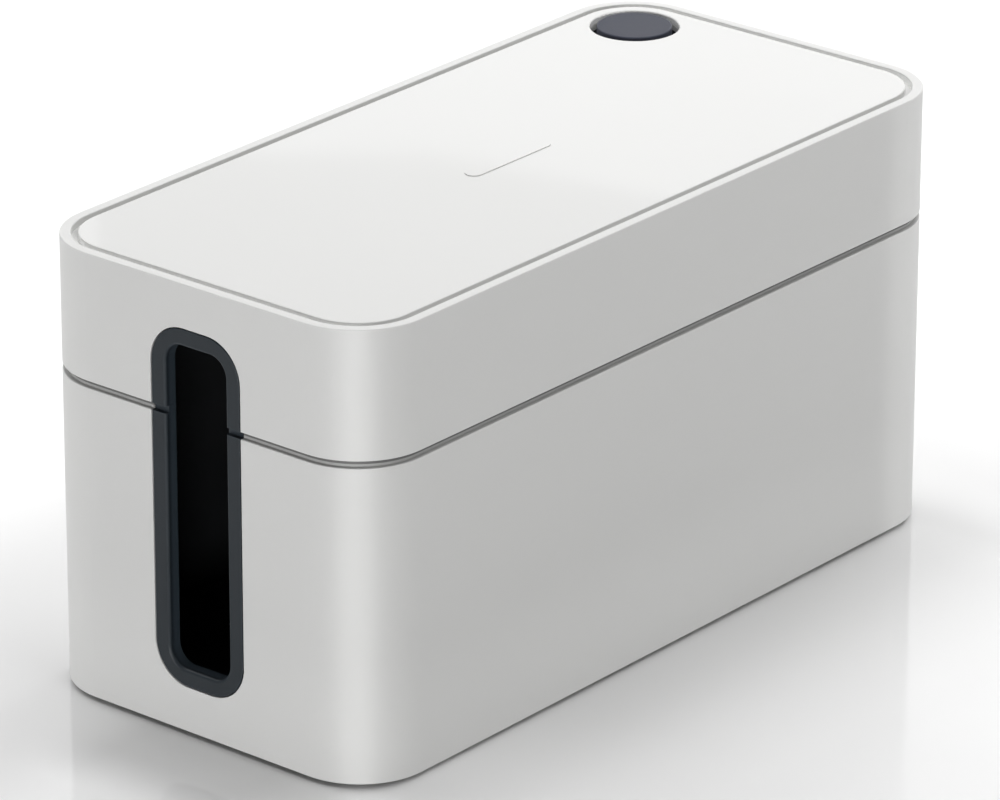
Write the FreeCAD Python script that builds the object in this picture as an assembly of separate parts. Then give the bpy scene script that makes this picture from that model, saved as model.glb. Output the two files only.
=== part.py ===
import FreeCAD, Part
import math
import os

# Cable management box: a rounded-corner base with a lift-off lid, a cable slot in each
# end wall and a plugged outlet in the top.  Millimetres, +Z up.
# Origin: centre of the footprint, on the floor.  X runs along the length, Y across the
# width; left is -X and front is -Y.
# Suffixes: _R radius, _T thickness, _D depth, _HW half width, _Z height above the floor.

V = FreeCAD.Vector
os.makedirs("parts", exist_ok=True)

# ---- envelope
LENGTH = 246.0          # X, outside of the end walls
WIDTH = 116.0           # Y, outside of the long walls
HEIGHT = 127.2          # floor to the lid's rim
CORNER_R = 20.5         # vertical corners, outside
STANDOFF = 1.2          # shell's underside above the floor
WALL = 2.7              # shell wall
FLOOR_T = 3.0           # base floor
FLOOR_TOP = STANDOFF + FLOOR_T
END_X = LENGTH / 2      # outer face of an end wall

# ---- seam between base and lid
BASE_TOP = 89.5         # base's outer wall ends here
SHADOW_GAP = 1.97
LID_BOTTOM = BASE_TOP + SHADOW_GAP
TONGUE_INSET = 1.35     # tongue's outer face behind the outer face
TONGUE_CLEAR = 0.10     # running clearance, tongue to lid rebate
TONGUE_BOTTOM = STANDOFF + 5    # start of the tongue's block, buried in the base wall
TONGUE_TOP = 96.48
SHOULDER_Z = TONGUE_TOP + 0.02  # lid's shoulder, which comes down on the tongue

# ---- shell edges
RIM_EDGE_R = 0.30       # lid's top outer edge
RIM_INNER_EDGE_R = 0.3
SEAM_EDGE_R = 0.35      # base's upper outer edge
TONGUE_EDGE_R = 0.4
LID_EDGE_R = 0.15       # lid's lower outer edge
BOTTOM_EDGE_R = 0.35
CUTOUT_EDGE_R = 0.22
CAVITY_EDGE_R = 2.5     # inside, where base wall meets floor
ROOM_EDGE_R = 2.0       # inside, where lid wall meets deck

# ---- lid deck, rim and inlay
RIM_W = 2.95
GROOVE_W = 1.9
PLATE_INSET = RIM_W + GROOVE_W
DECK_TOP = 125.25
DECK_T = 2.4
DECK_BOTTOM = DECK_TOP - DECK_T
ADHESIVE_T = 0.2
ADHESIVE_INSET = 0.5    # film's edge behind the plate's
ADHESIVE_HOLE_CLEAR = 0.6
PLATE_TOP = 127.14
PLATE_EDGE_R = 0.32
MARK_X, MARK_Y = -1.0, -2.5     # plain raised bar near the middle of the plate
MARK_L = 33.0
MARK_W = 5.0
MARK_H = 0.22
MARK_R = MARK_W / 2 - 0.01      # leaves a sliver of straight end
MARK_ROOT = 0.5         # bar's overlap into the plate

# ---- top outlet: hole, tube under the deck, lugs inside the tube, ribs outside it
OUTLET_X, OUTLET_Y = 102.4, 37.2
OUTLET_R = 12.46        # hole in plate and lid
OUTLET_EDGE_R = 0.45
TUBE_R = 14.3           # outside
TUBE_BOTTOM = 111.1
TUBE_TOP = DECK_TOP - 0.6
LUG_TOP = 112.7
LUG_INNER_R = 9.6
LUG_OUTER_R = TUBE_R - 0.4
LUG_HALF_DEG = 22.0
LUG_COUNT = 3
GUSSET_T = 1.6
GUSSET_L = 7.0
GUSSET_BOTTOM = 113.7
GUSSET_TOP = DECK_BOTTOM + 0.5
GUSSET_START = TUBE_R - 0.6
GUSSET_DEGREES = (150.0, 210.0, 270.0)

# ---- outlet plug
PLUG_R = 10.56
PLUG_TOP = 127.4
PLUG_EDGE_R = 0.45
PLUG_HEAD_T = 4.2
PLUG_NECK_R = 6.2
PLUG_NECK_EDGE_R = 1.2
PLUG_NECK_OVERLAP = 0.2         # into the head and into the flange
PLUG_FLANGE_R = 12.38
PLUG_FLANGE_T = 2.6
PLUG_FLANGE_BOTTOM = LUG_TOP + 0.02
PLUG_NOTCH_R = 2.3
PLUG_NOTCH_AT = 11.6            # notch centre from the plug's axis
PLUG_NOTCH_START_DEG = 180.0

# ---- cable slots in the end walls.  Outlines: half width, bottom, top, corner radius
SLOT_HW = 15.05
SLOT_BOTTOM, SLOT_TOP = 14.23, 114.53
SLOT = (SLOT_HW, SLOT_BOTTOM, SLOT_TOP, 11.0)           # trim's outer outline
MOUTH_HW = 10.25
MOUTH_BOTTOM, MOUTH_TOP = 19.0, 109.75
MOUTH = (MOUTH_HW, MOUTH_BOTTOM, MOUTH_TOP, 5.4)        # clear opening
SLOT_CLEAR = 0.28       # joint line between shell and trim
SLOT_OVERCUT = 2.0      # slot cutters pass the wall's faces by this much
RELIEF_HW = SLOT_HW + 0.35      # gap in the base's tongue at each slot
RELIEF_L = 8.0
RELIEF_H = 20.0
RELIEF_INSET = 2.0      # relief's centre inside the end face

# ---- slot trims
MOUTH_EDGE_R = 1.0
TRIM_EDGE_R = 0.3
TRIM_INNER_EDGE_R = 0.4
TRIM_FLANGE = 2.2       # how far the inner flange overlaps the wall
TRIM_FLANGE_T = 1.5
TRIM_FLANGE_OVERLAP = 0.5       # flange's overlap into the ring
TRIM_FLANGE_START = 96.8        # upper flange starts above the tongue
TRIM_TONGUE_TOP = 91.41 # lower trim's own tongue closes the seam gap behind the face
TRIM_TONGUE_ROOT = 0.5  # tongue's overlap into the lower trim
TRIM_BACK_X = END_X - WALL - TRIM_FLANGE_T
TRIM_CUT_IN = TRIM_BACK_X - 6   # inner end of the trims' cutters
TRIM_MAX_Z = 140.0      # above every trim

# ---- feet, one in a pocket at each corner
FOOT_X, FOOT_Y = 97.0, 33.0
FOOT_R = 7.0
FOOT_CLEAR = 0.08
FOOT_POCKET = 1.0
FOOT_EDGE_R = 0.6
FOOT_RINGS = ((2.2, 3.0), (4.4, 5.2))   # grip grooves under each foot, inner and outer radius
FOOT_RING_D = 0.4
FOOT_FILM_T = 0.15      # bonding disc between foot and pocket
FOOT_FILM_R = 6.4
FOOT_TOP = STANDOFF + FOOT_POCKET - FOOT_FILM_T

# ---- moulding details
PIN_MARK_R = 3.0        # ejector-pin marks on the inside faces
PIN_MARK_D = 0.15
PIN_CUTTER_H = 1.0
PIN_MARKS_FLOOR = (     # x, y
    (-72, -34), (-72, 34), (0, -34), (0, 34), (72, -34), (72, 34), (-36, 0), (36, 0))
PIN_MARKS_DECK = (      # x, y
    (-84, -36), (-84, 36), (-14, -36), (-14, 36), (56, -36), (56, 36), (-48, 0), (24, 0))
GATE_R = 2.6            # sunk gate mark under the floor
GATE_D = 0.4
GATE_PIP_R = 0.8        # stub in the middle of the gate mark
GATE_PIP_BOTTOM = STANDOFF + 0.1

NEAR = 1e-3             # tolerance when picking edges
SIDES = (-1, 1)


# ================================================================= outlines and prisms
def rounded_rect(half_x, half_y, radius, z, centre_x=0.0, centre_y=0.0):
    """Rounded rectangle in a horizontal plane, as a face."""
    flat_x, flat_y = half_x - radius, half_y - radius
    diagonal = radius * math.sqrt(0.5)
    mid_x, mid_y = flat_x + diagonal, flat_y + diagonal

    def at(x, y):
        return V(centre_x + x, centre_y + y, z)

    def arc(start, middle, end):
        return Part.Arc(at(*start), at(*middle), at(*end)).toShape()

    return Part.Face(Part.Wire([
        Part.makeLine(at(-flat_x, -half_y), at(flat_x, -half_y)),
        arc((flat_x, -half_y), (mid_x, -mid_y), (half_x, -flat_y)),
        Part.makeLine(at(half_x, -flat_y), at(half_x, flat_y)),
        arc((half_x, flat_y), (mid_x, mid_y), (flat_x, half_y)),
        Part.makeLine(at(flat_x, half_y), at(-flat_x, half_y)),
        arc((-flat_x, half_y), (-mid_x, mid_y), (-half_x, flat_y)),
        Part.makeLine(at(-half_x, flat_y), at(-half_x, -flat_y)),
        arc((-half_x, -flat_y), (-mid_x, -mid_y), (-flat_x, -half_y)),
    ]))


def box_prism(inset, bottom, top):
    """The box's own outline, moved in by inset, between two heights."""
    face = rounded_rect(LENGTH / 2 - inset, WIDTH / 2 - inset, CORNER_R - inset, bottom)
    return face.extrude(V(0, 0, top - bottom))


def slot_prism(side, outline, grow, x_out, x_in):
    """Upright slot outline, grown all round.  x_out and x_in are distances from the centre."""
    half_width, bottom, top, radius = outline
    bottom, top = bottom - grow, top + grow
    face = rounded_rect((top - bottom) / 2, half_width + grow, radius + grow, 0.0)
    # stand the outline up: its X becomes Z, its Y stays Y
    face.rotate(V(0, 0, 0), V(0, 1, 0), -90)
    face.translate(V(side * x_in, 0, (bottom + top) / 2))
    return face.extrude(V(side * (x_out - x_in), 0, 0))


def wall_slot(side):
    """Cutter for the slot through one end wall."""
    return slot_prism(side, SLOT, SLOT_CLEAR, END_X + SLOT_OVERCUT, END_X - WALL - SLOT_OVERCUT)


def outlet_cylinder(radius, height, bottom):
    return Part.makeCylinder(radius, height, V(OUTLET_X, OUTLET_Y, bottom))


def cut_pin_marks(shape, places, bottom):
    for x, y in places:
        shape = shape.cut(Part.makeCylinder(PIN_MARK_R, PIN_CUTTER_H, V(x, y, bottom)))
    return shape


# ================================================================= edge picking
def edges_where(shape, test):
    return [edge for edge in shape.Edges if test(edge, edge.BoundBox)]


def level_at(bounds, z):
    return abs(bounds.ZMin - z) < NEAR and abs(bounds.ZMax - z) < NEAR


def in_end_plane(bounds, x):
    return abs(bounds.XMin - x) < NEAR and abs(bounds.XMax - x) < NEAR


def has_radius(edge, radius):
    return hasattr(edge.Curve, "Radius") and abs(edge.Curve.Radius - radius) < NEAR


def midpoint(edge):
    return edge.valueAt((edge.FirstParameter + edge.LastParameter) / 2)


def inset_of(x, y):
    """How far a point lies inside the box's outer outline."""
    x, y = abs(x), abs(y)
    corner_x, corner_y = LENGTH / 2 - CORNER_R, WIDTH / 2 - CORNER_R
    if x > corner_x and y > corner_y:
        return CORNER_R - math.hypot(x - corner_x, y - corner_y)
    return min(LENGTH / 2 - x, WIDTH / 2 - y)


def fillet_loop(shape, radius, z, inset):
    """Round the level loop that follows the box's outline at this inset."""
    def test(edge, bounds):
        if not level_at(bounds, z):
            return False
        middle = midpoint(edge)
        return abs(inset_of(middle.x, middle.y) - inset) <= NEAR
    return shape.makeFillet(radius, edges_where(shape, test))


def fillet_cutouts(shape, z_low, z_high):
    """Round the outer edges of both slot cutouts between two heights."""
    reach = SLOT_HW + 1
    for side in SIDES:
        def test(edge, bounds):
            return (in_end_plane(bounds, side * END_X)
                    and abs(bounds.YMin) < reach and abs(bounds.YMax) < reach
                    and bounds.ZMin > z_low and bounds.ZMax < z_high
                    and bounds.DiagonalLength > 0.5)
        shape = shape.makeFillet(CUTOUT_EDGE_R, edges_where(shape, test))
    return shape


def save(shape, name):
    """Write a piece, which must be a single solid."""
    if len(shape.Solids) != 1:
        raise RuntimeError("%s has %d solids" % (name, len(shape.Solids)))
    solid = shape.Solids[0]
    if not solid.isValid():
        solid.fix(1e-4, 1e-4, 1e-3)
    solid.exportStep("parts/%s.step" % name)


# ================================================================= pieces
def base_shell():
    outer = box_prism(0.0, STANDOFF, BASE_TOP)
    outer = fillet_loop(outer, BOTTOM_EDGE_R, STANDOFF, 0)
    outer = fillet_loop(outer, SEAM_EDGE_R, BASE_TOP, 0)
    tongue = box_prism(TONGUE_INSET, TONGUE_BOTTOM, TONGUE_TOP)
    tongue = fillet_loop(tongue, TONGUE_EDGE_R, TONGUE_TOP, TONGUE_INSET)
    cavity = box_prism(WALL, FLOOR_TOP, TONGUE_TOP + 5)
    cavity = fillet_loop(cavity, CAVITY_EDGE_R, FLOOR_TOP, WALL)
    base = outer.fuse(tongue).cut(cavity)
    for side in SIDES:
        base = base.cut(wall_slot(side))
        relief = Part.makeBox(RELIEF_L, 2 * RELIEF_HW, RELIEF_H,
                              V(-RELIEF_L / 2, -RELIEF_HW, BASE_TOP))
        relief.translate(V(side * (END_X - RELIEF_INSET), 0, 0))
        base = base.cut(relief)
    for side_x in SIDES:
        for side_y in SIDES:
            base = base.cut(Part.makeCylinder(FOOT_R + FOOT_CLEAR, FOOT_POCKET,
                                              V(side_x * FOOT_X, side_y * FOOT_Y, STANDOFF)))
    base = cut_pin_marks(base, PIN_MARKS_FLOOR, FLOOR_TOP - PIN_MARK_D)
    base = base.cut(Part.makeCylinder(GATE_R, GATE_D, V(0, 0, STANDOFF)))
    base = base.fuse(Part.makeCylinder(GATE_PIP_R, GATE_D, V(0, 0, GATE_PIP_BOTTOM)))
    base = base.removeSplitter()
    return fillet_cutouts(base, SLOT_BOTTOM - 1, BASE_TOP - SEAM_EDGE_R + 0.01)


def gusset(degrees):
    """Triangular rib between the outlet tube and the deck."""
    back = -GUSSET_T / 2
    foot = V(GUSSET_START, back, GUSSET_BOTTOM)
    triangle = Part.makePolygon([foot, V(TUBE_R + GUSSET_L, back, GUSSET_TOP),
                                 V(GUSSET_START, back, GUSSET_TOP), foot])
    rib = Part.Face(triangle).extrude(V(0, GUSSET_T, 0))
    rib.rotate(V(0, 0, 0), V(0, 0, 1), degrees)
    rib.translate(V(OUTLET_X, OUTLET_Y, 0))
    return rib


def lug(degrees):
    """Ring sector at the tube's lower end, which the plug's flange sits above."""
    sector = Part.makeCylinder(LUG_OUTER_R, LUG_TOP - TUBE_BOTTOM, V(0, 0, TUBE_BOTTOM),
                               V(0, 0, 1), 2 * LUG_HALF_DEG)
    sector = sector.cut(Part.makeCylinder(LUG_INNER_R, 10, V(0, 0, TUBE_BOTTOM - 2)))
    sector.rotate(V(0, 0, 0), V(0, 0, 1), degrees - LUG_HALF_DEG)
    sector.translate(V(OUTLET_X, OUTLET_Y, 0))
    return sector


def lid_shell():
    outer = box_prism(0.0, LID_BOTTOM, HEIGHT)
    outer = fillet_loop(outer, RIM_EDGE_R, HEIGHT, 0)
    outer = fillet_loop(outer, LID_EDGE_R, LID_BOTTOM, 0)
    room = box_prism(WALL, LID_BOTTOM - 1, DECK_BOTTOM)
    room = fillet_loop(room, ROOM_EDGE_R, DECK_BOTTOM, WALL)
    rebate = box_prism(TONGUE_INSET - TONGUE_CLEAR, LID_BOTTOM - 1, SHOULDER_Z)
    recess = box_prism(RIM_W, DECK_TOP, HEIGHT + 1)
    lid = outer.cut(room).cut(rebate).cut(recess)
    lid = lid.fuse(outlet_cylinder(TUBE_R, TUBE_TOP - TUBE_BOTTOM, TUBE_BOTTOM))
    lid = cut_pin_marks(lid, PIN_MARKS_DECK, DECK_BOTTOM - PIN_CUTTER_H + PIN_MARK_D)
    for degrees in GUSSET_DEGREES:
        lid = lid.fuse(gusset(degrees))
    lid = lid.cut(outlet_cylinder(OUTLET_R, 30, TUBE_BOTTOM - 5))
    for k in range(LUG_COUNT):
        lid = lid.fuse(lug(360.0 / LUG_COUNT * k))
    for side in SIDES:
        lid = lid.cut(wall_slot(side))
    lid = lid.removeSplitter()
    lid = fillet_loop(lid, RIM_INNER_EDGE_R, HEIGHT, RIM_W)
    return fillet_cutouts(lid, LID_BOTTOM + LID_EDGE_R - 0.01, SLOT_TOP + 1)


def top_plate():
    plate = box_prism(PLATE_INSET, DECK_TOP + ADHESIVE_T, PLATE_TOP)
    plate = plate.cut(outlet_cylinder(OUTLET_R, 10, DECK_TOP - 2))
    plate = fillet_loop(plate, PLATE_EDGE_R, PLATE_TOP, PLATE_INSET)
    hole_edges = edges_where(plate, lambda edge, bounds: (
        level_at(bounds, PLATE_TOP) and has_radius(edge, OUTLET_R)
        and abs(edge.Curve.Center.x - OUTLET_X) < NEAR))
    plate = plate.makeFillet(OUTLET_EDGE_R, hole_edges)
    bar = rounded_rect(MARK_L / 2, MARK_W / 2, MARK_R, PLATE_TOP - MARK_ROOT, MARK_X, MARK_Y)
    bar = bar.extrude(V(0, 0, MARK_ROOT + MARK_H))
    return plate.fuse(bar).removeSplitter()


def top_plate_adhesive():
    film = box_prism(PLATE_INSET + ADHESIVE_INSET, DECK_TOP, DECK_TOP + ADHESIVE_T)
    return film.cut(outlet_cylinder(OUTLET_R + ADHESIVE_HOLE_CLEAR, 10, DECK_TOP - 2))


def slot_trims(side):
    """Lower and upper trim of one slot: a ring in the wall with a flange behind it."""
    def fillet_rim(shape, radius, inner, at_x):
        def test(edge, bounds):
            if not in_end_plane(bounds, side * at_x):
                return False
            middle = midpoint(edge)
            on_mouth = (abs(middle.y) < MOUTH_HW + 0.05
                        and MOUTH_BOTTOM - 0.05 < middle.z < MOUTH_TOP + 0.05)
            return on_mouth == inner
        return shape.makeFillet(radius, edges_where(shape, test))

    def slab(bottom, top, x_out=END_X + 5):
        """Block that keeps the part of a trim between two heights."""
        x_in = END_X - 20
        block = Part.makeBox(x_out - x_in, 80, top - bottom, V(x_in, -40, bottom))
        if side < 0:
            block.rotate(V(0, 0, 0), V(0, 0, 1), 180)
        return block

    body = slot_prism(side, SLOT, 0, END_X, TRIM_BACK_X)
    mouth = slot_prism(side, MOUTH, 0, END_X + SLOT_OVERCUT, TRIM_CUT_IN)
    flange = slot_prism(side, SLOT, TRIM_FLANGE, END_X - WALL, TRIM_BACK_X)
    ring = body.cut(mouth)
    ring = fillet_rim(ring, MOUTH_EDGE_R, True, END_X)
    ring = fillet_rim(ring, TRIM_INNER_EDGE_R, True, TRIM_BACK_X)
    ring = fillet_rim(ring, TRIM_EDGE_R, False, END_X)
    flange = flange.cut(slot_prism(side, SLOT, -TRIM_FLANGE_OVERLAP,
                                   END_X + SLOT_OVERCUT, TRIM_CUT_IN))

    lower = ring.common(slab(0, BASE_TOP)).fuse(flange.common(slab(0, BASE_TOP)))
    lower = lower.fuse(ring.common(
        slab(BASE_TOP - TRIM_TONGUE_ROOT, TRIM_TONGUE_TOP, END_X - TONGUE_INSET)))
    upper = ring.common(slab(LID_BOTTOM, TRIM_MAX_Z))
    upper = upper.fuse(flange.common(slab(TRIM_FLANGE_START, TRIM_MAX_Z)))
    return lower.removeSplitter(), upper.removeSplitter()


def outlet_plug():
    """Built on the Z axis, then moved to the outlet."""
    head_bottom = PLUG_TOP - PLUG_HEAD_T
    head = Part.makeCylinder(PLUG_R, PLUG_HEAD_T, V(0, 0, head_bottom))
    head = head.makeFillet(PLUG_EDGE_R, edges_where(
        head, lambda edge, bounds: level_at(bounds, PLUG_TOP)))
    flange_top = PLUG_FLANGE_BOTTOM + PLUG_FLANGE_T
    neck = Part.makeCylinder(PLUG_NECK_R, head_bottom - flange_top + 2 * PLUG_NECK_OVERLAP,
                             V(0, 0, flange_top - PLUG_NECK_OVERLAP))
    flange = Part.makeCylinder(PLUG_FLANGE_R, PLUG_FLANGE_T, V(0, 0, PLUG_FLANGE_BOTTOM))
    for k in range(LUG_COUNT):
        angle = math.radians(PLUG_NOTCH_START_DEG + 360.0 / LUG_COUNT * k)
        flange = flange.cut(Part.makeCylinder(PLUG_NOTCH_R, 10, V(
            PLUG_NOTCH_AT * math.cos(angle), PLUG_NOTCH_AT * math.sin(angle), LUG_TOP - 3)))
    plug = head.fuse(neck).fuse(flange).removeSplitter()
    plug = plug.makeFillet(PLUG_NECK_EDGE_R, edges_where(plug, lambda edge, bounds: (
        has_radius(edge, PLUG_NECK_R) and bounds.ZMax - bounds.ZMin < NEAR)))
    plug.translate(V(OUTLET_X, OUTLET_Y, 0))
    return plug


def foot(x, y):
    centre = V(x, y, 0)
    pad = Part.makeCylinder(FOOT_R, FOOT_TOP, centre)
    pad = pad.makeFillet(FOOT_EDGE_R, edges_where(
        pad, lambda edge, bounds: bounds.ZMax < NEAR and hasattr(edge.Curve, "Radius")))
    for inner, outer in FOOT_RINGS:
        groove = Part.makeCylinder(outer, FOOT_RING_D, centre)
        pad = pad.cut(groove.cut(Part.makeCylinder(inner, FOOT_RING_D, centre)))
    return pad


# ================================================================= build and write
save(base_shell(), "base_shell")
save(lid_shell(), "lid_shell")
save(top_plate(), "top_plate")
save(top_plate_adhesive(), "top_plate_adhesive")
save(outlet_plug(), "outlet_plug")

discs = []
for side_x, name_x in ((-1, "left"), (1, "right")):
    lower_trim, upper_trim = slot_trims(side_x)
    save(lower_trim, "slot_trim_%s_lower" % name_x)
    save(upper_trim, "slot_trim_%s_upper" % name_x)
    for side_y, name_y in ((-1, "front"), (1, "rear")):
        x, y = side_x * FOOT_X, side_y * FOOT_Y
        save(foot(x, y), "foot_%s_%s" % (name_y, name_x))
        discs.append(Part.makeCylinder(FOOT_FILM_R, FOOT_FILM_T, V(x, y, FOOT_TOP)))
Part.makeCompound(discs).exportStep("parts/foot_adhesive_discs.step")
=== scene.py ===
import math
from functools import cached_property

import bpy
from mathutils import Matrix, Vector


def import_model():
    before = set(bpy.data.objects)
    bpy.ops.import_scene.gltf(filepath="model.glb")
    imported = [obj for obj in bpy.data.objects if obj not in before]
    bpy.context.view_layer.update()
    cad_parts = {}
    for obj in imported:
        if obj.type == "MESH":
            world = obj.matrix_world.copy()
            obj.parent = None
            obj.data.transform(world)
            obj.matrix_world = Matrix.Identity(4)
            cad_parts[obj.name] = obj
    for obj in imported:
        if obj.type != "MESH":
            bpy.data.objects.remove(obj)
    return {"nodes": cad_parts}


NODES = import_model()["nodes"]
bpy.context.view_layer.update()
scene = bpy.context.scene

# ---------------------------------------------------------------- sizes and places of the product
BOX_X, BOX_Y = 0.123, 0.058  # half length and half width
BOX_CORNER = 0.0205  # corner radius in plan
FOOT_Z = 0.0012  # bottom edge of the walls
SEAM_LOW, SEAM_HIGH = 0.0895, 0.09147  # the two edges of the joint under the lid
RIM_Z = 0.1272  # top of the rim
PLUG_XY = (0.1024, 0.0372)

# ---------------------------------------------------------------- colours, linear
SHELL = (0.664, 0.664, 0.655)
# painted light: pale tone painted on the end grooves, as where more light falls
GROOVE_PAINTED_LIGHT = (0.86, 0.86, 0.85)


def rgba(color, times=1.0):
    return (*[channel * times for channel in color], 1.0)


def grey(level):
    return rgba((level, level, level))


# ---------------------------------------------------------------- shader building
class Tree:
    """A material with a Principled surface.  Masks are sockets that run from 0 to 1."""

    SOCKETS = {"color": "Base Color", "rough": "Roughness", "ior": "IOR",
               "normal": "Normal", "sheen": "Sheen Weight"}

    def __init__(self, name):
        self.material = bpy.data.materials.new(name)
        self.material.use_nodes = True
        self.nodes = self.material.node_tree.nodes
        self.nodes.clear()
        output = self.node("OutputMaterial")
        self.surface = self.node("BsdfPrincipled")
        self.put(self.surface.outputs[0], output.inputs["Surface"])
        self.coord = self.node("TexCoord").outputs["Object"]

    def node(self, kind):
        return self.nodes.new("ShaderNode" + kind)

    def put(self, value, socket):
        """Link a socket, or store a plain value."""
        if isinstance(value, bpy.types.NodeSocket):
            self.material.node_tree.links.new(value, socket)
        else:
            socket.default_value = value

    def finish(self, **values):
        for key, value in values.items():
            self.put(value, self.surface.inputs[self.SOCKETS[key]])
        return self.material

    @cached_property
    def axes(self):
        split = self.node("SeparateXYZ")
        self.put(self.coord, split.inputs[0])
        return split.outputs[0], split.outputs[1], split.outputs[2]

    # textures
    def noise(self, scale, seed, detail=2.0, rough=0.6, stretch=None):
        noise = self.node("TexNoise")
        noise.noise_dimensions = "4D"
        noise.inputs["W"].default_value = seed
        noise.inputs["Scale"].default_value = scale
        noise.inputs["Detail"].default_value = detail
        noise.inputs["Roughness"].default_value = rough
        source = self.coord
        if stretch is not None:
            mapping = self.node("Mapping")
            mapping.inputs["Scale"].default_value = stretch
            self.put(source, mapping.inputs["Vector"])
            source = mapping.outputs[0]
        self.put(source, noise.inputs["Vector"])
        return noise.outputs["Fac"]

    def cells(self, scale, seed):
        cells = self.node("TexVoronoi")
        cells.voronoi_dimensions = "4D"
        cells.inputs["W"].default_value = seed
        cells.inputs["Scale"].default_value = scale
        self.put(self.coord, cells.inputs["Vector"])
        return cells.outputs["Distance"]

    # arithmetic
    def math(self, operation, a, b=0.0):
        node = self.node("Math")
        node.operation = operation
        for value, socket in zip((a, b, 0.0), node.inputs):
            self.put(value, socket)
        return node.outputs[0]

    def add(self, a, b):
        return self.math("ADD", a, b)

    def sub(self, a, b):
        return self.math("SUBTRACT", a, b)

    def mul(self, a, b):
        return self.math("MULTIPLY", a, b)

    def length(self, a, b):
        return self.math("SQRT", self.add(self.mul(a, a), self.mul(b, b)))

    def rounded(self, a, b, centre, half, corner):
        """Signed distance to a rounded rectangle, negative inside."""
        past_a, past_b = [
            self.sub(self.math("ABSOLUTE", self.sub(value, middle)), reach - corner)
            for value, middle, reach in zip((a, b), centre, half)]
        outside = self.length(self.math("MAXIMUM", past_a, 0.0), self.math("MAXIMUM", past_b, 0.0))
        inside = self.math("MINIMUM", self.math("MAXIMUM", past_a, past_b), 0.0)
        return self.sub(self.add(outside, inside), corner)

    # masks
    def ramp(self, value, over, to):
        """Smooth step from to[0] to to[1] while value crosses the range over."""
        node = self.node("MapRange")
        node.interpolation_type = "SMOOTHSTEP"
        node.clamp = True
        self.put(value, node.inputs["Value"])
        limits = ("From Min", "From Max", "To Min", "To Max")
        for limit, number in zip(limits, (*over, *to)):
            node.inputs[limit].default_value = number
        return node.outputs[0]

    def rise(self, value, over):
        return self.ramp(value, over, to=(0.0, 1.0))

    def fall(self, value, over):
        return self.ramp(value, over, to=(1.0, 0.0))

    def band(self, value, rise, fall):
        return self.mul(self.rise(value, rise), self.fall(value, fall))

    def near(self, value, at, width):
        """1 at value == at, falling to 0 at width away."""
        return self.fall(self.math("ABSOLUTE", self.sub(value, at)), over=(width * 0.35, width))

    def any_of(self, mask, *others):
        for other in others:
            mask = self.math("MAXIMUM", mask, other)
        return mask

    def patchy(self, mask, scale, seed, least):
        """Break a mask up with noise, keeping at least the share least of it."""
        return self.mul(mask, self.ramp(self.noise(scale, seed), over=(0.25, 0.65),
                                        to=(least, 1.0)))

    # colour and relief
    def mix(self, mask, a, b, strength=None):
        if strength is not None:
            mask = self.mul(mask, strength)
        node = self.node("Mix")
        node.data_type = "RGBA"
        for value, index in ((mask, 0), (a, 6), (b, 7)):
            self.put(value, node.inputs[index])
        return node.outputs[2]

    def bump(self, height, distance, strength):
        node = self.node("Bump")
        node.inputs["Strength"].default_value = strength
        node.inputs["Distance"].default_value = distance
        self.put(height, node.inputs["Height"])
        return node.outputs[0]


# ---------------------------------------------------------------- masks shared by materials
def box_distance(t):
    """Distance in plan to the box's outline, negative inside."""
    x, y, _ = t.axes
    return t.rounded(x, y, centre=(0.0, 0.0), half=(BOX_X, BOX_Y), corner=BOX_CORNER)


def box_inset(t):
    """Depth in plan inside the box's outline."""
    return t.mul(box_distance(t), -1.0)


def end_groove(t):
    """The groove round the inlay where it runs along the two x ends."""
    x, _, z = t.axes
    level = t.band(z, rise=(0.12500, 0.12510), fall=(0.12685, 0.12700))
    return t.mul(t.rise(t.math("ABSOLUTE", x), over=(0.1100, 0.1160)), level)


def plug_radius(t):
    """Distance in plan from the plug's centre."""
    x, y, _ = t.axes
    return t.length(t.sub(x, PLUG_XY[0]), t.sub(y, PLUG_XY[1]))


# ---------------------------------------------------------------- hard materials
def shell_wear(t, inset):
    """Handled edges: rim, its inner lip, the two seam edges and the foot of the walls."""
    z = t.axes[2]
    skin = t.fall(inset, over=(0.0003, 0.0009))
    levels = t.any_of(t.near(z, at=RIM_Z, width=0.0008),
                      t.near(z, at=SEAM_HIGH, width=0.0004),
                      t.near(z, at=SEAM_LOW, width=0.0006),
                      t.near(z, at=FOOT_Z, width=0.0008))
    lip = t.mul(t.near(inset, at=0.00295, width=0.0004), t.near(z, at=RIM_Z, width=0.0006))
    return t.patchy(t.any_of(t.mul(skin, levels), lip), scale=90.0, seed=4.0, least=0.35)


def shell_recess(t, inset):
    """The recess of the joint between body and lid, where painted shade goes."""
    z = t.axes[2]
    level = t.band(z, rise=(0.08930, 0.08942), fall=(0.0964, 0.0966))
    recess = t.mul(t.rise(inset, over=(-0.0001, 0.0003)), level)
    return t.mul(recess, t.any_of(t.rise(inset, over=(0.0010, 0.0012)),
                                  t.fall(z, over=(0.09140, 0.09144))))


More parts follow.
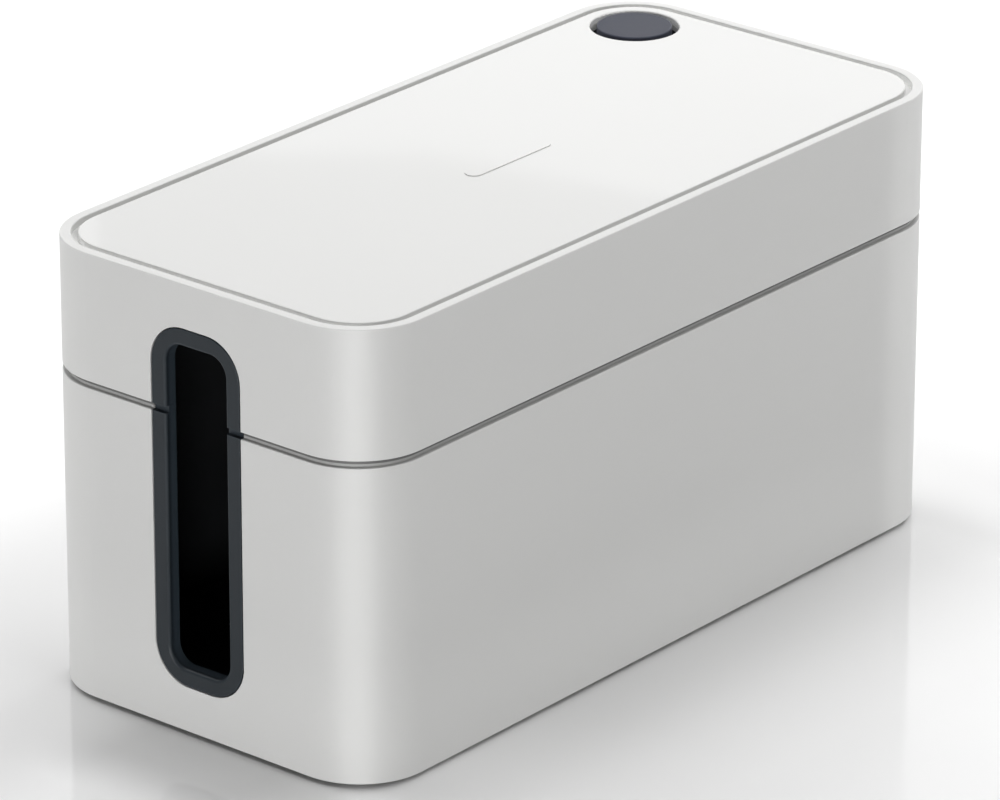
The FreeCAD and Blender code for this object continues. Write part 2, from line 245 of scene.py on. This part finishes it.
def moulded_shell():
    t = Tree("shell_moulded_satin")
    z = t.axes[2]
    inset = box_inset(t)
    grain = t.noise(scale=2600.0, seed=1.0)
    pits = t.cells(scale=1500.0, seed=2.0)
    cloud = t.noise(scale=22.0, seed=3.0, rough=0.55)
    color = t.mix(t.rise(cloud, over=(0.25, 0.75)),
                  rgba(SHELL, times=0.992), rgba(SHELL, times=1.006))
    fleck = t.rise(grain, over=(0.35, 0.65))
    color = t.mix(fleck, color, rgba(SHELL, times=1.015), strength=0.35)
    worn = shell_wear(t, inset)
    color = t.mix(worn, color, rgba(SHELL, times=1.07), strength=0.35)
    # painted light: the top of the rim is painted a touch paler, and so are the narrow end
    # grooves, as where more light falls
    rim_top_painted_light = t.mul(t.rise(z, over=(0.12690, 0.12712)), t.rise(inset, over=(0.0001, 0.0004)))
    color = t.mix(rim_top_painted_light, color, rgba(SHELL, times=1.075))
    groove = t.mul(end_groove(t), t.rise(inset, over=(0.00285, 0.00300)))
    color = t.mix(groove, color, rgba(GROOVE_PAINTED_LIGHT))
    # painted shade: the joint is painted darker, most of all right under the lid's edge, where
    # shade falls
    joint_painted_shade = t.mix(t.rise(z, over=(0.09005, 0.09035)),
                  rgba(SHELL, times=0.72), rgba(SHELL, times=0.22))
    color = t.mix(shell_recess(t, inset), color, joint_painted_shade)
    # painted shade: the faces inside the box are painted charcoal, for the dim shade inside it
    inside = t.mul(t.rise(inset, over=(0.00250, 0.00262)),
                   t.band(z, rise=(0.0030, 0.0034), fall=(0.1236, 0.1238)))
    interior_painted_shade = t.mix(t.rise(t.noise(scale=60.0, seed=8.0, rough=0.5), over=(0.3, 0.7)),
                     rgba((0.0330, 0.0355, 0.0390)), rgba((0.0380, 0.0405, 0.0445)))
    color = t.mix(inside, color, interior_painted_shade)
    # worn edges are smoother, the inside rougher
    worn_gloss, inside_matt = 0.10, 0.14
    rough = t.add(t.ramp(cloud, over=(0.3, 0.7), to=(0.42, 0.46)),
                  t.ramp(grain, over=(0.3, 0.7), to=(-0.02, 0.02)))
    rough = t.sub(rough, t.mul(worn, worn_gloss))
    rough = t.add(rough, t.mul(inside, inside_matt))
    grain_height, pit_height = 0.7, 0.5
    height = t.add(t.mul(grain, grain_height), t.mul(pits, pit_height))
    return t.finish(color=color, rough=rough, ior=1.5,
                    normal=t.bump(height, distance=0.000035, strength=0.35))


def polished_plate():
    t = Tree("plate_polished")
    z = t.axes[2]
    inset = box_inset(t)
    grain = t.noise(scale=4200.0, seed=5.0)
    cloud = t.noise(scale=14.0, seed=6.0, rough=0.5)
    smear = t.noise(scale=9.0, seed=7.0, detail=3.0, stretch=(1.0, 2.6, 1.0))
    color = t.mix(t.rise(cloud, over=(0.25, 0.75)),
                  rgba((0.700, 0.700, 0.690)), rgba((0.710, 0.710, 0.700)))
    # the plate's outer edge is worn
    worn = t.patchy(t.near(inset, at=0.00485, width=0.0006), scale=90.0, seed=9.0, least=0.4)
    color = t.mix(worn, color, rgba((0.745, 0.745, 0.735)), strength=0.35)
    # painted light: the plate's end grooves are painted pale, as where more light falls
    groove = t.mul(end_groove(t), t.fall(inset, over=(0.00500, 0.00510)))
    color = t.mix(groove, color, rgba(GROOVE_PAINTED_LIGHT))
    # painted light: the plate is painted pale below its top face round the plug, as if lit
    plug_wall_painted_light = t.mul(t.fall(plug_radius(t), over=(0.01255, 0.01265)),
                      t.fall(z, over=(0.1266, 0.1268)))
    color = t.mix(plug_wall_painted_light, color, rgba((0.95, 0.95, 0.94)))
    worn_matt = 0.10
    rough = t.add(t.ramp(smear, over=(0.3, 0.75), to=(0.030, 0.050)), t.mul(worn, worn_matt))
    return t.finish(color=color, rough=rough, ior=1.45,
                    normal=t.bump(grain, distance=0.000004, strength=0.05))


def adhesive_film():
    t = Tree("adhesive_film")
    grain = t.noise(scale=700.0, seed=21.0, detail=4.0)
    color = t.mix(t.rise(grain, over=(0.3, 0.7)),
                  rgba((0.66, 0.65, 0.60)), rgba((0.74, 0.73, 0.69)))
    return t.finish(color=color, rough=t.ramp(grain, over=(0.3, 0.7), to=(0.35, 0.55)), ior=1.47,
                    normal=t.bump(grain, distance=0.00003, strength=0.3))


# ---------------------------------------------------------------- elastomers
def elastomer(name, dark, light, grain_scale, relief, rough, seed, ior=1.42,
              worn_at=None, painted_light_at=None):
    """Mottled rubber; worn_at and the last argument are functions that give masks: worn_at for
    wear, the last for where the rubber is painted paler as painted light.
    """
    t = Tree(name)
    grain = t.noise(grain_scale, seed, detail=3.0)
    cells = t.cells(scale=grain_scale * 0.55, seed=seed + 1.0)
    cloud = t.noise(scale=60.0, seed=seed + 2.0, rough=0.55)
    color = t.mix(t.rise(cloud, over=(0.25, 0.75)), rgba(dark), rgba(light))
    roughness = t.ramp(cloud, over=(0.3, 0.7), to=rough)
    if worn_at is not None:
        worn_gloss = 0.06
        worn = t.patchy(worn_at(t), scale=140.0, seed=seed + 3.0, least=0.4)
        color = t.mix(worn, color, rgba(light, times=1.6), strength=0.45)
        roughness = t.sub(roughness, t.mul(worn, worn_gloss))
    if painted_light_at is not None:
        # painted light: the masked part is painted paler, as if more light reached it
        color = t.mix(painted_light_at(t), color, rgba(light, times=2.3))
    cell_height = 0.6
    height = t.add(grain, t.mul(cells, cell_height))
    return t.finish(color=color, rough=roughness, ior=ior, sheen=0.01,
                    normal=t.bump(height, distance=relief, strength=0.5))


def trim_edges(t):
    """Outer and inner edges of the trim's end face, and where the seam crosses it."""
    x, y, z = t.axes
    outer = t.near(t.rounded(y, z, centre=(0.0, 0.06438), half=(0.01505, 0.05015), corner=0.011),
                   at=0.0, width=0.0005)
    inner = t.near(t.rounded(y, z, centre=(0.0, 0.064375), half=(0.01025, 0.045375),
                             corner=0.0054), at=0.0002, width=0.0007)
    seam = t.any_of(t.near(z, at=SEAM_HIGH, width=0.0004), t.near(z, at=SEAM_LOW, width=0.0004))
    face = t.rise(t.math("ABSOLUTE", x), over=(0.1220, 0.1227))
    return t.mul(t.any_of(outer, inner, seam), face)


def trim_reveal(t):
    """The part of the trim set back from its end face, which is painted paler as painted light."""
    return t.fall(t.math("ABSOLUTE", t.axes[0]), over=(0.1208, 0.1222))


def plug_edges(t):
    """The top outer edge of the plug."""
    return t.mul(t.rise(plug_radius(t), over=(0.0099, 0.0103)),
                 t.rise(t.axes[2], over=(0.1268, RIM_Z)))


# ---------------------------------------------------------------- dressing the pieces
SHELL_LOOK = moulded_shell()
PLATE_LOOK = polished_plate()
TRIM_LOOK = elastomer(
    "trim_slate_elastomer", dark=(0.0125, 0.0180, 0.0235), light=(0.0155, 0.0215, 0.0275),
    grain_scale=2600.0, relief=0.00003, rough=(0.46, 0.54), seed=31.0,
    worn_at=trim_edges, painted_light_at=trim_reveal)
PLUG_LOOK = elastomer(
    "plug_slate_elastomer", dark=(0.0350, 0.0395, 0.0600), light=(0.0420, 0.0468, 0.0690),
    grain_scale=2200.0, relief=0.00003, rough=(0.56, 0.64), seed=41.0, worn_at=plug_edges)
FOOT_LOOK = elastomer(
    "foot_grey_elastomer", dark=(0.030, 0.031, 0.034), light=(0.040, 0.041, 0.044),
    grain_scale=1800.0, relief=0.00005, rough=(0.62, 0.74), seed=51.0, ior=1.45)
NAMED_LOOKS = {"outlet_plug": PLUG_LOOK, "top_plate": PLATE_LOOK,
               "top_plate_adhesive": adhesive_film()}


def look_for(name):
    if name.startswith("slot_trim"):
        return TRIM_LOOK
    if name.startswith("foot_"):
        return FOOT_LOOK
    return NAMED_LOOKS.get(name, SHELL_LOOK)


for name in NODES:
    slots = NODES[name].data.materials
    slots.clear()
    slots.append(look_for(name))


# ---------------------------------------------------------------- floor
def link_object(name, data):
    item = bpy.data.objects.new(name, data)
    scene.collection.objects.link(item)
    return item


def flat_piece(name, points, material):
    """One polygon through the points."""
    mesh = bpy.data.meshes.new(name)
    mesh.from_pydata(points, [], [tuple(range(len(points)))])
    mesh.update()
    mesh.materials.append(material)
    return link_object(name, mesh)


def floor_paper():
    """Paper with a painted shadow round the box that only the camera sees; it reflects light
    evenly.
    """
    t = Tree("studio_floor")
    x, y, _ = t.axes
    around = box_distance(t)
    minus_x_edge, plus_x_edge = (-0.130, -0.105), (0.112, 0.150)
    beyond_minus_x = t.fall(x, over=minus_x_edge)
    short_of_plus_x = t.fall(x, over=plus_x_edge)
    # painted shadow: wide and faint on the +y side and beyond the +x end
    sides = t.add(t.mul(short_of_plus_x, t.rise(y, over=(0.000, 0.040))),
                  t.ramp(x, over=plus_x_edge, to=(0.0, 0.85)))
    wide = t.mul(t.fall(around, over=(0.030, 0.130)), sides)
    painted_floor_shadow = t.mix(wide, grey(0.985), grey(0.780))
    # painted shadow: close on the -y side and, narrower and darker, beyond the -x end
    reach = t.add(t.mul(t.fall(around, over=(0.008, 0.070)), t.rise(x, over=minus_x_edge)),
                  t.mul(t.fall(around, over=(0.016, 0.042)), beyond_minus_x))
    shade = t.mul(reach, t.mul(short_of_plus_x, t.fall(y, over=(0.012, 0.040))))
    close = t.mix(beyond_minus_x, grey(0.715), grey(0.640))
    # the painted shadow is lighter by the corner at -x, -y
    by_corner = t.mul(t.fall(x, over=(-0.110, -0.035)), t.fall(y, over=(-0.056, -0.026)))
    close = t.mix(by_corner, close, grey(0.855))
    painted_floor_shadow = t.mix(shade, painted_floor_shadow, close)
    cloud = t.noise(scale=3.0, seed=71.0, detail=3.0, rough=0.5)
    lit = t.mix(t.rise(cloud, over=(0.3, 0.7)), grey(0.895), grey(0.905))
    # the camera sees the painted shadow, other rays the even floor
    color = t.mix(t.node("LightPath").outputs["Is Camera Ray"], lit, painted_floor_shadow)
    return t.finish(color=color, rough=0.07, ior=1.42)


FLOOR_HALF = 12.0
FLOOR_Z = -0.00002  # just below the box
FLOOR_SIGNS = ((-1, -1), (1, -1), (1, 1), (-1, 1))
flat_piece("studio_floor",
                    [(i * FLOOR_HALF, j * FLOOR_HALF, FLOOR_Z) for i, j in FLOOR_SIGNS],
                    floor_paper())

# ---------------------------------------------------------------- lights
# Spotlights: name, place, target, half width and half height of the beam at the target, watts
BEAMS = (
    ("slit_near", (-0.3600, -0.2280, 0.064), (-0.1186, -0.0502, 0.064), 0.008, 0.25, 0.50),
    ("slit_left", (-0.4200, 0.1500, 0.064), (-0.1190, 0.0480, 0.064), 0.016, 0.25, 0.25),
    ("slit_right", (0.1050, -0.3600, 0.064), (0.1050, -BOX_Y, 0.064), 0.014, 0.25, 0.45),
    ("foot_long", (-0.010, -0.5000, 0.004), (-0.010, -BOX_Y, 0.002), 0.30, 0.040, 0.42),
    ("foot_end", (-0.5600, 0.0, 0.004), (-BOX_X, 0.0, 0.002), 0.25, 0.040, 0.36),
)
BEAM_SOURCE_RADIUS = 0.003

# Area lights: name, place, target, width, height, watts
MIDDLE = (0.0, 0.0, 0.06)
SOFTBOXES = (
    ("overhead_small", (0.0, 0.0, 1.3), MIDDLE, 0.5, 0.5, 2.8),
    ("overhead_back", (0.75, 0.60, 1.10), MIDDLE, 1.0, 1.0, 1.0),
    ("overhead_back_left", (-0.20, 0.95, 1.10), MIDDLE, 1.0, 1.0, 9.0),
    ("overhead_back_right", (0.95, -0.20, 1.10), MIDDLE, 1.0, 1.0, 10.1),
    ("overhead_front", (-0.10, -0.90, 1.15), MIDDLE, 0.8, 0.8, 4.2),
    ("side_right", (0.15, -1.30, 0.60), MIDDLE, 0.8, 0.8, 0.3),
    ("low_left", (-1.50, 0.0, 0.10), MIDDLE, 1.2, 0.18, 4.8),
    ("corner_far", (-1.20, -0.75, 0.12), (-0.1025, -0.0375, 0.06), 0.45, 0.22, 4.7),
    ("right_strip", (0.45, -0.35, 0.10), (0.10, -0.04, 0.06), 0.15, 0.35, 0.16),
)

# Glowing upright cards behind the box, in one plane that faces the camera.
CARD_AWAY = Vector((0.7701, 0.6379, 0.0))
CARD_SIDE = Vector((0.6379, -0.7701, 0.0))
CARD_DISTANCE = 1.31
CARD_END = 1.30  # sideways reach of the cards
BOTTOM, TOP = 0.01, 1.0
STEP, PEAK = 0.6235, 0.8881  # top of the low card: its level part and its raised end
BEND, SPLIT = -0.03, -0.19  # where that top starts to climb, and where the upper cards meet
# name, outline as (sideways, height), emission strength
CARDS = (
    ("card_low", ((-CARD_END, BOTTOM), (CARD_END, BOTTOM), (CARD_END, PEAK), (BEND, STEP),
                  (-CARD_END, STEP)), 1.52),
    ("card_high", ((SPLIT, STEP), (BEND, STEP), (CARD_END, PEAK), (CARD_END, TOP),
                   (SPLIT, TOP)), 1.12),
    ("card_side", ((-CARD_END, STEP), (SPLIT, STEP), (SPLIT, TOP), (-CARD_END, TOP)), 1.52),
)


def add_light(name, kind, place, target, watts):
    """A light aimed at target; also returns its distance from there."""
    data = bpy.data.lights.new(name, kind)
    data.energy = watts
    lamp = link_object(name, data)
    lamp.location = place
    way = Vector(target) - Vector(place)
    lamp.rotation_euler = way.to_track_quat("-Z", "Y").to_euler()
    lamp.visible_camera = False
    return lamp, way.length


def glow(name, strength):
    material = bpy.data.materials.new(name)
    material.use_nodes = True
    tree = material.node_tree
    tree.nodes.clear()
    output = tree.nodes.new("ShaderNodeOutputMaterial")
    emission = tree.nodes.new("ShaderNodeEmission")
    emission.inputs["Color"].default_value = grey(1.0)
    emission.inputs["Strength"].default_value = strength
    tree.links.new(emission.outputs[0], output.inputs["Surface"])
    return material


for name, place, target, half_width, half_height, watts in BEAMS:
    lamp, distance = add_light(name, "SPOT", place, target, watts)
    widest = max(half_width, half_height)
    lamp.data.spot_size = 2.0 * math.atan(widest / distance)
    lamp.data.spot_blend = 1.0
    lamp.data.shadow_soft_size = BEAM_SOURCE_RADIUS
    # squeeze the cone into an ellipse
    lamp.scale = (half_width / widest, half_height / widest, 1.0)

for name, place, target, width, height, watts in SOFTBOXES:
    lamp, _ = add_light(name, "AREA", place, target, watts)
    lamp.data.shape = "RECTANGLE"
    lamp.data.size = width
    lamp.data.size_y = height

for name, outline, strength in CARDS:
    points = [tuple(CARD_AWAY * CARD_DISTANCE + CARD_SIDE * sideways + Vector((0.0, 0.0, height)))
              for sideways, height in outline]
    card = flat_piece(name, points, glow(name, strength))
    card.visible_camera = False

# the world is black, so only the lights and cards light the scene
world = bpy.data.worlds.new("studio")
scene.world = world
world.use_nodes = True
background = world.node_tree.nodes["Background"]
background.inputs["Color"].default_value = grey(1.0)
background.inputs["Strength"].default_value = 0.0

# ---------------------------------------------------------------- camera
CAMERA_PLACE = (-1.324577, -1.096437, 0.778698)
CAMERA_AXES = (
    (0.63847917, -0.76963702, 0.00179059),  # right
    (0.29699462, 0.24852722, 0.92196985),  # up
    (-0.71002714, -0.58812676, 0.38725751),  # backwards
)
view = bpy.data.cameras.new("view")
camera = link_object("view", view)
pose = Matrix(CAMERA_AXES).transposed().to_4x4()
pose.translation = CAMERA_PLACE
camera.matrix_world = pose
view.sensor_fit = "HORIZONTAL"
view.sensor_width = 36.0
view.lens = 248.735
view.shift_x = -0.0005
view.shift_y = 0.0005
view.clip_start = 0.05
view.clip_end = 60.0
scene.camera = camera
scene.view_settings.view_transform = "Standard"
scene.view_settings.look = "None"
